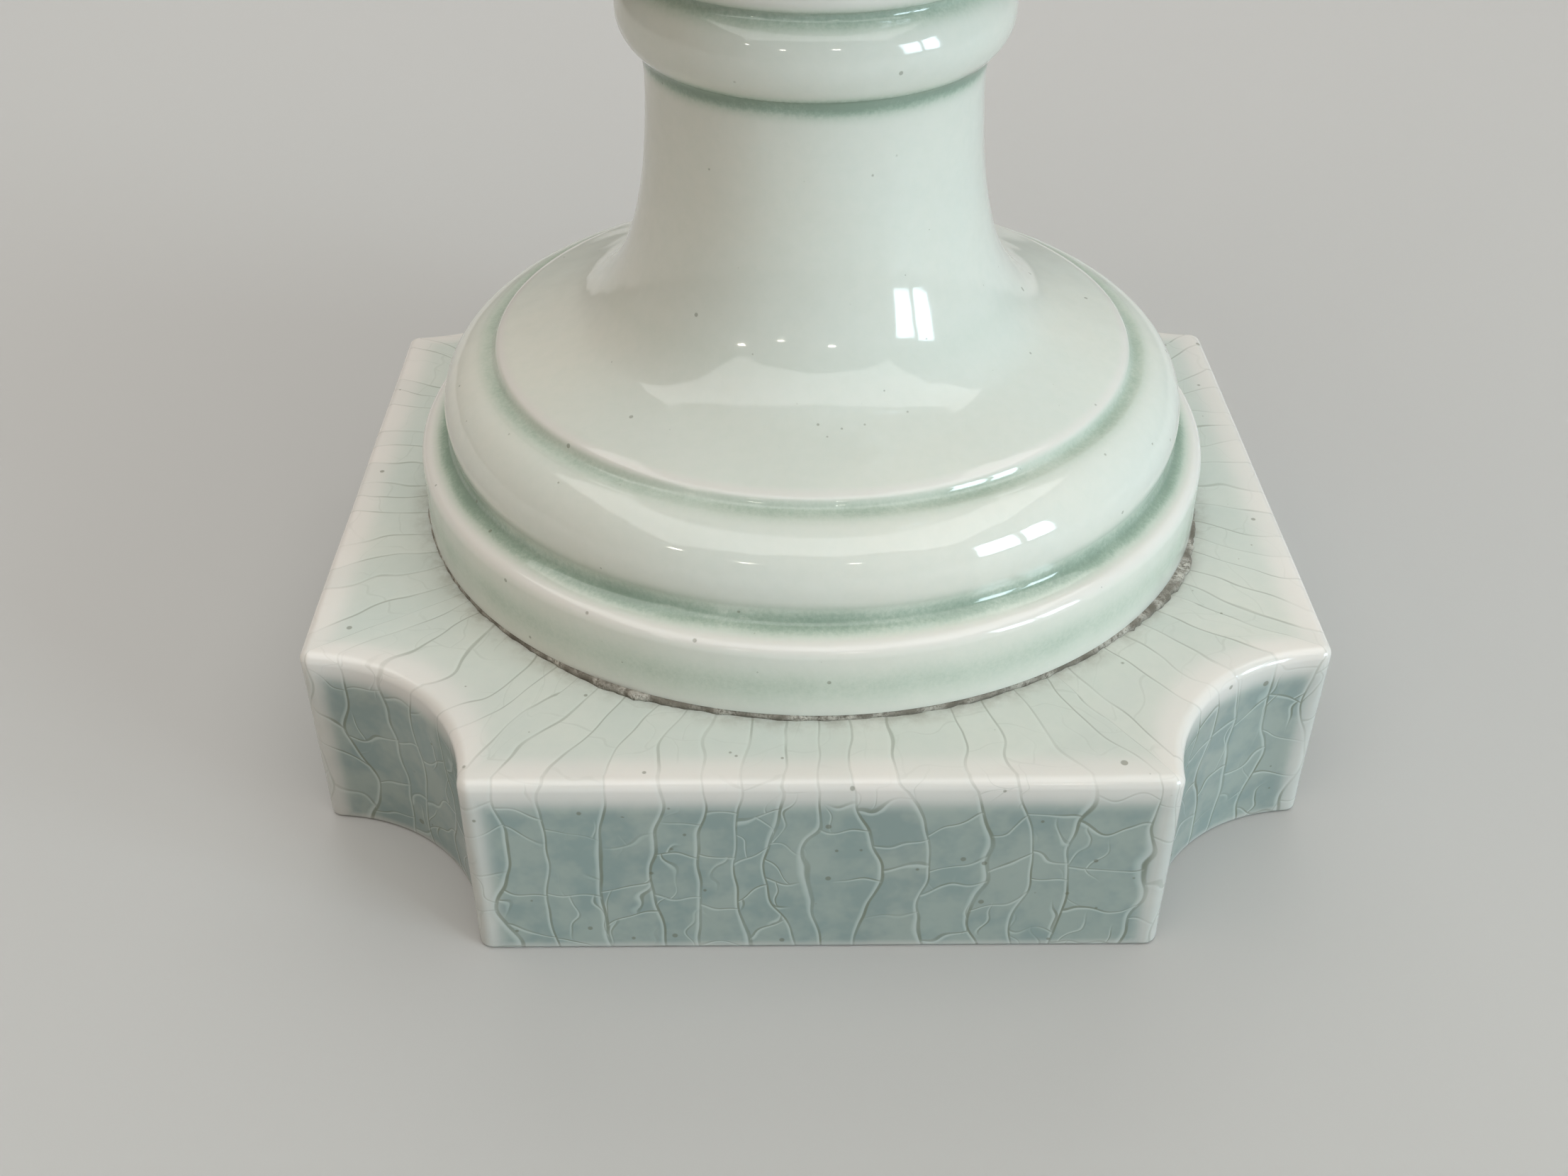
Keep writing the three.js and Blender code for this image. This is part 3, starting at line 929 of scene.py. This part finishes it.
def make_lights():
    """Soft light from above and behind, a two-pane window on the right, and small warm lamps in front."""
    world = bpy.data.worlds.new("studio")
    bpy.context.scene.world = world
    world.use_nodes = True
    background = world.node_tree.nodes["Background"]
    background.inputs["Color"].default_value = (1.0, 0.94, 0.84, 1.0)
    background.inputs["Strength"].default_value = 0.06

    area_light("ceiling", 0, 80, 1.5, size=(2.6, 2.2), power=35, tint=(1.0, 0.985, 0.96))
    back = area_light("back", 180, 44, 1.4, size=(1.2, 0.8), power=6.5, tint=(0.97, 0.98, 1.0))
    for pane, azimuth in (("left", 52), ("right", 65)):
        name = f"window_{pane}_pane"
        area_light(name, azimuth, 12, 1.1, size=(0.19, 0.38), power=0.7, tint=DAYLIGHT, spread=80)
    room = area_light("room_left", -95, 32, 1.6, size=(1.5, 1.2), power=1.1, tint=WARM_ROOM)
    for index, (azimuth, elevation) in enumerate(((-41, 27), (-20, 24), (11, 27))):
        name = f"lamp_{index + 1}"
        area_light(name, azimuth, elevation, 1.2, size=(0.07, 0.02), power=0.25, tint=(1.0, 0.93, 0.82))

    # These two only brighten the glaze, and aren't mirrored in it
    back.visible_glossy = False
    room.visible_glossy = False


def make_camera():
    """The photograph's viewpoint: above the front edge, looking down at the foot."""
    camera = bpy.data.cameras.new("camera")
    camera.lens = 38.28
    camera.sensor_width = 36
    camera.clip_start = 0.01
    holder = bpy.data.objects.new("camera", camera)
    holder.location = (-0.0037, -0.1404, 0.1102)
    pitch, yaw = 36.95, 0.44
    holder.rotation_euler = Euler((math.radians(90 - pitch), 0, math.radians(-yaw)))
    bpy.context.scene.collection.objects.link(holder)
    bpy.context.scene.camera = holder


# ---------------------------------------------------------------- build

make_camera()
make_lights()
make_stage()

glaze = foot_glaze()
cement = gritty("cement", dark=(112, 106, 94), pale=(216, 211, 199), rough=0.85, grain=2.2)
cork = gritty("cork", dark=(120, 84, 54), pale=(182, 142, 100), rough=0.8, grain=1.6)
brass = metal("brass", bright=(205, 168, 96), dull=(128, 98, 52), rough=0.22)
steel = metal("steel", bright=(172, 175, 178), dull=(110, 108, 104), rough=0.28)

plinth = make_plinth(plinth_glaze())
wobble(plinth, size=14, amount=PLINTH_WOBBLE)
foot = make_turned("pedestal_foot_turned", foot_profile(), glaze, ["pedestal_foot"], FOOT_POOLS, FOOT_THINS)
body = make_turned("vase_body_turned", body_profile(), glaze, BODY_NODES, BODY_POOLS, BODY_THINS)
wobble(foot, size=16, amount=FOOT_WOBBLE)
wobble(body, size=24, amount=BODY_WOBBLE)
make_bedding(cement)
make_washer("body_seat_gasket_cork", "body_seat_gasket", cork, "cork", 0.1)
make_washer("bowl_gasket_cork", "bowl_gasket", cork, "cork", 0.25)
make_washer("bowl_washer_brass", "bowl_washer", brass, "brass", 0.2)
make_washer("plinth_gasket_cork", "plinth_gasket", cork, "cork", 0.25)
make_washer("clamp_plate_steel", "clamp_plate", steel, "steel", 0.2)
make_cap_nut(brass)
make_hex_nut(steel)
make_spring_washer(steel)
make_rod(steel)

scene = bpy.context.scene
scene.view_settings.view_transform = "Standard"

bpy.context.view_layer.update()
